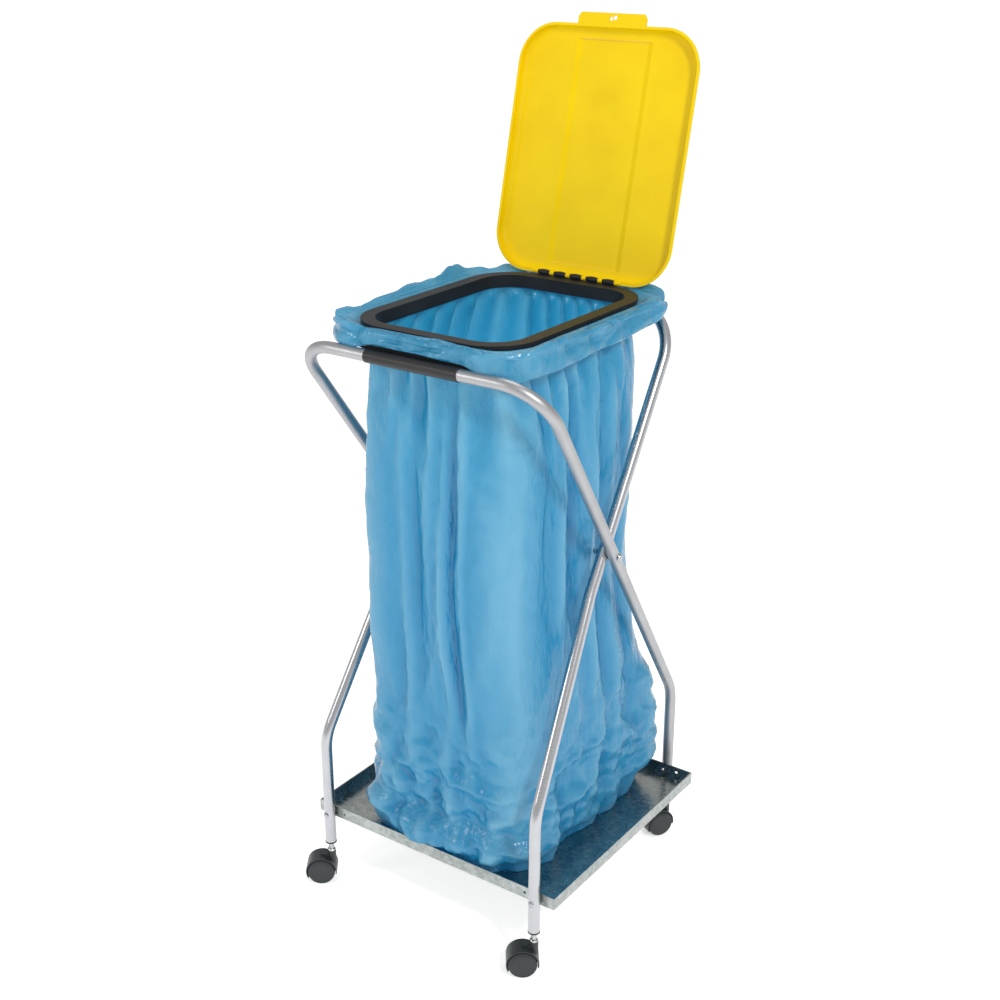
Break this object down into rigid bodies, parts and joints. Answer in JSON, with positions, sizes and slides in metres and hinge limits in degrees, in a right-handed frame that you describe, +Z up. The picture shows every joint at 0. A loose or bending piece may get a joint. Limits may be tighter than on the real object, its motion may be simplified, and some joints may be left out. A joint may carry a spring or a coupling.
{
  "type": "mobile waste sack stand",
  "caption": "Tall wheeled stand of crossed steel tubes with a sheet tray, a clamped plastic sack and a hinged lid.",
  "frame": {"origin": "on the floor, on the mid-plane between the legs, under the middle of the stand", "axes": "+Z up, +X to the right as seen from the push bar side, -Y towards the push bar, +Y towards the lid's hinge"},
  "size_m": [0.531, 0.6044, 1.5111],
  "materials": {
    "frame_steel": "satin zinc-plated tube",
    "bright_steel": "bright plated hardware",
    "tray_steel": "galvanised sheet",
    "yellow_plastic": "moulded, semi-gloss",
    "black_plastic": "moulded, fine texture",
    "caster_plastic": "moulded, satin",
    "sleeve_rubber": "soft sleeve",
    "blue_film": "thin translucent film"
  },
  "bodies": {
    "stand": {"push_frame": "frame_steel", "back_frame": "frame_steel", "pivot_bolts": "bright_steel", "pivot_nuts": "bright_steel", "pivot_washers": "bright_steel", "tray": "tray_steel", "tray_bolts": "bright_steel", "tray_nuts": "bright_steel", "push_bar_sleeve": "sleeve_rubber", "sack_holder": "black_plastic", "back_bar_clips": "black_plastic", "holder_screws": "bright_steel", "sack": "blue_film", "front_left_socket": "black_plastic", "front_right_socket": "black_plastic", "back_left_socket": "black_plastic", "back_right_socket": "black_plastic"},
    "mouth_ring": {"clamp_ring": "black_plastic", "hinge_pin": "bright_steel"},
    "cover": {"lid": "yellow_plastic"},
    "front_left_swivel": {"front_left_stem": "bright_steel", "front_left_hood": "caster_plastic", "front_left_axle": "bright_steel"},
    "front_left_roller_a": {"front_left_wheel_a": "caster_plastic"},
    "front_left_roller_b": {"front_left_wheel_b": "caster_plastic"},
    "front_right_swivel": {"front_right_stem": "bright_steel", "front_right_hood": "caster_plastic", "front_right_axle": "bright_steel"},
    "front_right_roller_a": {"front_right_wheel_a": "caster_plastic"},
    "front_right_roller_b": {"front_right_wheel_b": "caster_plastic"},
    "back_left_swivel": {"back_left_stem": "bright_steel", "back_left_hood": "caster_plastic", "back_left_axle": "bright_steel"},
    "back_left_roller_a": {"back_left_wheel_a": "caster_plastic"},
    "back_left_roller_b": {"back_left_wheel_b": "caster_plastic"},
    "back_right_swivel": {"back_right_stem": "bright_steel", "back_right_hood": "caster_plastic", "back_right_axle": "bright_steel"},
    "back_right_roller_a": {"back_right_wheel_a": "caster_plastic"},
    "back_right_roller_b": {"back_right_wheel_b": "caster_plastic"}
  },
  "joints": [
    {"name": "ring_lift", "type": "slide", "parent": "stand", "child": "mouth_ring", "axis": [0, 0, 1], "range_m": [0, 0.06]},
    {"name": "lid_hinge", "type": "hinge", "parent": "mouth_ring", "child": "cover", "pos_m": [0, 0.189, 1.0795], "axis": [1, 0, 0], "range_deg": [0, 103.4]},
    {"name": "front_left_swivel_turn", "type": "hinge", "parent": "stand", "child": "front_left_swivel", "pos_m": [-0.225, -0.26, 0.07], "axis": [0, 0, 1], "continuous": true},
    {"name": "front_left_wheel_a_spin", "type": "hinge", "parent": "front_left_swivel", "child": "front_left_roller_a", "pos_m": [-0.24037, -0.27117, 0.025], "axis": [0.5878, -0.809, 0], "continuous": true},
    {"name": "front_left_wheel_b_spin", "type": "hinge", "parent": "front_left_swivel", "child": "front_left_roller_b", "pos_m": [-0.24037, -0.27117, 0.025], "axis": [0.5878, -0.809, 0], "continuous": true},
    {"name": "front_right_swivel_turn", "type": "hinge", "parent": "stand", "child": "front_right_swivel", "pos_m": [0.225, -0.26, 0.07], "axis": [0, 0, 1], "continuous": true},
    {"name": "front_right_wheel_a_spin", "type": "hinge", "parent": "front_right_swivel", "child": "front_right_roller_a", "pos_m": [0.20963, -0.27117, 0.025], "axis": [0.5878, -0.809, 0], "continuous": true},
    {"name": "front_right_wheel_b_spin", "type": "hinge", "parent": "front_right_swivel", "child": "front_right_roller_b", "pos_m": [0.20963, -0.27117, 0.025], "axis": [0.5878, -0.809, 0], "continuous": true},
    {"name": "back_left_swivel_turn", "type": "hinge", "parent": "stand", "child": "back_left_swivel", "pos_m": [-0.1985, 0.236, 0.07], "axis": [0, 0, 1], "continuous": true},
    {"name": "back_left_wheel_a_spin", "type": "hinge", "parent": "back_left_swivel", "child": "back_left_roller_a", "pos_m": [-0.21121, 0.22188, 0.025], "axis": [0.7431, -0.6691, 0], "continuous": true},
    {"name": "back_left_wheel_b_spin", "type": "hinge", "parent": "back_left_swivel", "child": "back_left_roller_b", "pos_m": [-0.21121, 0.22188, 0.025], "axis": [0.7431, -0.6691, 0], "continuous": true},
    {"name": "back_right_swivel_turn", "type": "hinge", "parent": "stand", "child": "back_right_swivel", "pos_m": [0.1985, 0.236, 0.07], "axis": [0, 0, 1], "continuous": true},
    {"name": "back_right_wheel_a_spin", "type": "hinge", "parent": "back_right_swivel", "child": "back_right_roller_a", "pos_m": [0.189, 0.21955, 0.025], "axis": [0.866, -0.5, 0], "continuous": true},
    {"name": "back_right_wheel_b_spin", "type": "hinge", "parent": "back_right_swivel", "child": "back_right_roller_b", "pos_m": [0.189, 0.21955, 0.025], "axis": [0.866, -0.5, 0], "continuous": true}
  ]
}
